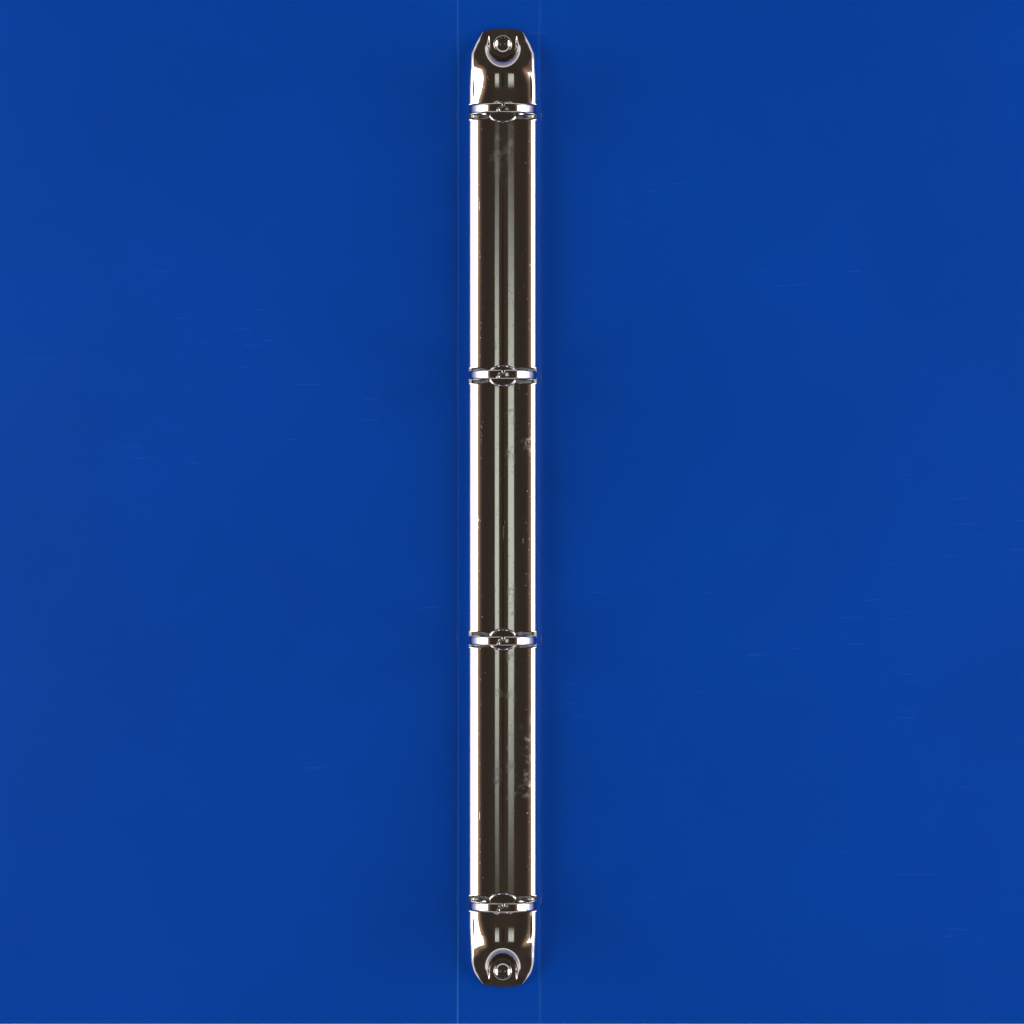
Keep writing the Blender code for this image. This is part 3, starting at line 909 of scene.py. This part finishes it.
def build_ring_half(number, side_name, rings, material):
    """One bent wire: a rounded square carried along the ring's line, which turns round by the end of the
    root bend. Its tip is cut along the S of the joint and closed by sections that shrink to a point, and
    its foot is necked through the blade and staked under it."""
    side = SIDES[side_name]
    line = RingLine(rings, side_name)
    wire = rings.wire_radius
    total = line.circle_length + line.bend_length + line.straight_length
    soft = 0.42 * MM
    round_tip = np.linspace(0, np.pi / 2, 8)[1:]
    tip = np.append(soft * (1 - np.cos(round_tip)), np.linspace(0.5 * MM, JOINT_FADE, 12))
    tip_radius = np.append(wire - soft + soft * np.sin(round_tip), np.full(12, wire))
    run = np.linspace(JOINT_FADE, line.circle_length, 40)[1:]
    bend = line.circle_length + line.bend_length * np.linspace(0, 1, 10)[1:]
    face, step, stake = 0.5 * MM, 0.01 * MM, 0.35 * MM
    neck_radius, stake_radius = 1 * MM, 1.35 * MM
    foot = total + np.array([-face - step, -face, face, face + step, face + stake])
    foot_radius = [wire, neck_radius, neck_radius, stake_radius, stake_radius, 0.0]
    s = np.concatenate([np.zeros(9), tip, run, bend, foot, foot[-1:]])
    plain = np.full(len(run) + len(bend), wire)
    radius = np.concatenate([(wire - soft) * np.linspace(0, 1, 9), tip_radius, plain, foot_radius])
    turn = np.linspace(0, 2 * np.pi, rings.sides, endpoint=False)
    radius = np.maximum(radius, 0.002 * MM)[:, None]
    square = 2 + (rings.squareness - 2) * (1 - smooth_step((s - run[-1]) / line.bend_length))[:, None]
    spread = (np.abs(np.cos(turn)) ** square + np.abs(np.sin(turn)) ** square) ** (-1 / square)
    radius = radius * spread
    across = radius * np.sin(turn)
    joint = joint_shape(across, wire, rings.tongue)
    fade = 1 - smooth_step(s / JOINT_FADE)[:, None]
    shifted = s[:, None] + rings.tip_gap / 2 + fade * (joint + rings.joint_offset) * side
    x, z, nx, nz = line.at(shifted)
    out = radius * np.cos(turn)
    place = RING_PLACES[number - 1]
    wire_x, wire_z = MECHANISM_X + side * (x + out * nx), SHEET_TOP + z + out * nz
    points = np.stack([wire_x, place + across, wire_z], -1)
    tip_cap = np.arange(len(turn))[None, :]
    foot_cap = ((len(s) - 1) * len(turn) + tip_cap)[:, ::-1]
    groups = [grid_faces(len(s), len(turn), round_columns=True), tip_cap, foot_cap]
    if side > 0:
        groups = [group[:, ::-1] for group in groups]
    half = make_piece(f"ring_{number}_{side_name}_wire", points, groups, material, sharp_angle=62)
    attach(half, side_name + "_rail")
    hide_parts(f"ring_{number}_{side_name}")


# ---------------------------------------------------------------- stage


def area_light(name, place, target, width, height, radiance):
    """A rectangular light at place, facing target, whose own face is as bright as radiance."""
    data = bpy.data.lights.new(name, "AREA")
    data.shape = "RECTANGLE"
    data.size, data.size_y = width, height
    data.energy = radiance * math.pi * width * height
    made = bpy.data.objects.new(name, data)
    made.location = place
    made.rotation_euler = (Vector(target) - Vector(place)).to_track_quat("-Z", "Y").to_euler()
    made.visible_camera = False
    bpy.context.scene.collection.objects.link(made)


def build_world(stage):
    """A dim room: dark overhead, pale at the horizon, with a glow over each softbox, and two narrow grey
    strips beside the camera, which is a darker patch between them."""
    world = bpy.data.worlds.new("studio_room")
    bpy.context.scene.world = world
    world.use_nodes = True
    nodes = Nodes(world.node_tree)
    place = nodes.add("ShaderNodeTexCoord", output="Generated")
    x, y, z = (nodes.add("ShaderNodeSeparateXYZ", None, {0: place}, axis) for axis in "XYZ")
    height = nodes.add("ShaderNodeMath", {"operation": "MAXIMUM"}, {0: z, 1: 0.02})
    across = x / height
    along = nodes.size_of(y / height)
    stops = [
        (0.0, (0.98, 0.96, 1.04)),
        (0.28, (0.90, 0.88, 0.96)),
        (0.40, (0.06, 0.048, 0.042)),
        (0.60, (0.045, 0.034, 0.028)),
        (0.85, (0.038, 0.028, 0.022)),
        (1.0, (0.048, 0.038, 0.028)),
    ]
    room = nodes.add("ShaderNodeValToRGB", {"stops": stops}, {"Fac": z}, "Color")
    near_box = nodes.ramp(nodes.size_of(across), 0.72, 1.30) ** 3 * (1 - nodes.ramp(along, 0.3, 0.9))
    glow = nodes.mix(near_box, room, (0.62, 0.40, 0.28, 1))
    lens = (1 - nodes.ramp(nodes.size_of(across), 0.02, 0.05)) * (1 - nodes.ramp(along, 0.05, 0.07))
    shaded = nodes.mix(lens * 0.5, glow, (0.005, 0.004, 0.003, 1))
    left = nodes.ramp(across, -0.287, -0.272) * (1 - nodes.ramp(across, -0.142, -0.127))
    right = nodes.ramp(across, 0.157, 0.172) * (1 - nodes.ramp(across, 0.340, 0.355))
    strips = (left + right) * (1 - nodes.ramp(along, 0.015, 0.080))
    bright = stage.strip_radiance
    lit = nodes.mix(strips, shaded, (bright * 0.95, bright, bright * 0.90, 1))
    background = nodes.add("ShaderNodeBackground", None, {"Color": lit})
    nodes.add("ShaderNodeOutputWorld", None, {"Surface": background})


def build_stage(stage, colours):
    """Floor, room, a softbox either side of the binder, and the camera."""
    made, nodes = new_material("pale_floor")
    mottle = nodes.noise(nodes.place(), 0.3, detail=3)
    colour = nodes.mix(mottle, opaque([c * 0.97 for c in colours.floor]), opaque(colours.floor))
    finish_material(nodes, {"Base Color": colour, "Roughness": 0.9, "Specular IOR Level": 0.1})
    half = 4.0
    x, y = np.meshgrid(*[np.linspace(-half, half, 3)] * 2, indexing="ij")
    points = np.stack([x, y, 0 * x], -1)
    floor = make_piece("floor", points, [grid_faces(3, 3)], made)

    build_world(stage)
    for name, side in SIDES.items():
        place = Vector((side * stage.softbox_distance, 0, stage.softbox_height / 2))
        target = place + Vector((-side, 0, 0))
        width, height = stage.softbox_length, stage.softbox_height
        area_light(name + "_softbox", place, target, width, height, stage.softbox_radiance)

    data = bpy.data.cameras.new("camera")
    data.sensor_width = 36
    data.lens = data.sensor_width * stage.camera_height / stage.framed_width
    data.clip_end = 100
    camera = bpy.data.objects.new("camera", data)
    camera.location = (stage.camera_x, stage.camera_y, SHEET_TOP + stage.camera_height)
    bpy.context.scene.collection.objects.link(camera)
    bpy.context.scene.camera = camera
    bpy.context.scene.view_settings.view_transform = "Standard"


# ---------------------------------------------------------------- operators


class BINDER_OT_covers(bpy.types.Operator):
    """Build the front and back covers"""

    bl_idname = "ring_binder.covers"
    bl_label = "Covers"

    def execute(self, context):
        scene = context.scene
        for end in COVERS:
            build_cover(end, scene.binder_sheet, blue_plastic(scene.binder_colours))
        return {"FINISHED"}


class BINDER_OT_spine(bpy.types.Operator):
    """Build the spine panel"""

    bl_idname = "ring_binder.spine"
    bl_label = "Spine panel"

    def execute(self, context):
        build_spine(context.scene.binder_sheet, blue_plastic(context.scene.binder_colours))
        return {"FINISHED"}


class BINDER_OT_hinges(bpy.types.Operator):
    """Build the two living hinges"""

    bl_idname = "ring_binder.hinges"
    bl_label = "Living hinges"

    def execute(self, context):
        scene = context.scene
        for end in COVERS:
            build_hinge(end, scene.binder_sheet, blue_plastic(scene.binder_colours))
        return {"FINISHED"}


class BINDER_OT_housing(bpy.types.Operator):
    """Build the pressed housing of the mechanism"""

    bl_idname = "ring_binder.housing"
    bl_label = "Housing"

    def execute(self, context):
        material = nickel_plate(context.scene.binder_colours, "nickel_plate_housing", 1.0)
        build_housing(context.scene.binder_housing, material)
        return {"FINISHED"}


class BINDER_OT_rivets(bpy.types.Operator):
    """Build the two hollow rivets"""

    bl_idname = "ring_binder.rivets"
    bl_label = "Rivets"

    def execute(self, context):
        scene = context.scene
        material = nickel_plate(scene.binder_colours, "nickel_plate_rivet", 0.3)
        build_rivets(scene.binder_housing, scene.binder_rings, material)
        return {"FINISHED"}


class BINDER_OT_rings(bpy.types.Operator):
    """Build the eight ring halves"""

    bl_idname = "ring_binder.rings"
    bl_label = "Rings"

    def execute(self, context):
        scene = context.scene
        material = nickel_plate(scene.binder_colours, "nickel_plate_ring", 0.3)
        for number in range(1, len(RING_PLACES) + 1):
            for side_name in SIDES:
                build_ring_half(number, side_name, scene.binder_rings, material)
        return {"FINISHED"}


class BINDER_OT_rails(bpy.types.Operator):
    """Give the two rails inside the housing their finish"""

    bl_idname = "ring_binder.rails"
    bl_label = "Rails"

    def execute(self, context):
        material = plated_steel(context.scene.binder_colours)
        for side_name in SIDES:
            blade = frame["nodes"][side_name + "_blade"]
            blade.data.materials.clear()
            blade.data.materials.append(material)
        return {"FINISHED"}


class BINDER_OT_stage(bpy.types.Operator):
    """Set up the floor, the lights and the camera"""

    bl_idname = "ring_binder.stage"
    bl_label = "Stage"

    def execute(self, context):
        build_stage(context.scene.binder_stage, context.scene.binder_colours)
        return {"FINISHED"}


OPERATORS = (
    BINDER_OT_covers,
    BINDER_OT_spine,
    BINDER_OT_hinges,
    BINDER_OT_housing,
    BINDER_OT_rivets,
    BINDER_OT_rings,
    BINDER_OT_rails,
    BINDER_OT_stage,
)
SETTINGS = {
    "binder_sheet": BinderSheetSettings,
    "binder_housing": BinderHousingSettings,
    "binder_rings": BinderRingSettings,
    "binder_colours": BinderColours,
    "binder_stage": BinderStageSettings,
}


class BINDER_PT_panel(bpy.types.Panel):
    """Lists the binder's settings and the pieces to build"""

    bl_idname = "BINDER_PT_panel"
    bl_label = "Ring Binder"
    bl_space_type = "VIEW_3D"
    bl_region_type = "UI"
    bl_category = "Ring Binder"

    def draw(self, context):
        for settings_name in SETTINGS:
            box = self.layout.box()
            settings = getattr(context.scene, settings_name)
            for setting in settings.__annotations__:
                box.prop(settings, setting)
        for operator in OPERATORS:
            self.layout.operator(operator.bl_idname)


def register():
    for made in (*SETTINGS.values(), *OPERATORS, BINDER_PT_panel):
        bpy.utils.register_class(made)
    for name, settings in SETTINGS.items():
        setattr(bpy.types.Scene, name, PointerProperty(type=settings))


def unregister():
    for name in SETTINGS:
        delattr(bpy.types.Scene, name)
    for made in reversed((*SETTINGS.values(), *OPERATORS, BINDER_PT_panel)):
        bpy.utils.unregister_class(made)


def main():
    for thing in list(bpy.data.objects):
        if thing.type in {"CAMERA", "LIGHT"} or thing.name == "Cube":
            bpy.data.objects.remove(thing)
    register()
    for operator in OPERATORS:
        family, action = operator.bl_idname.split(".")
        getattr(getattr(bpy.ops, family), action)()


if __name__ == "__main__":
    main()
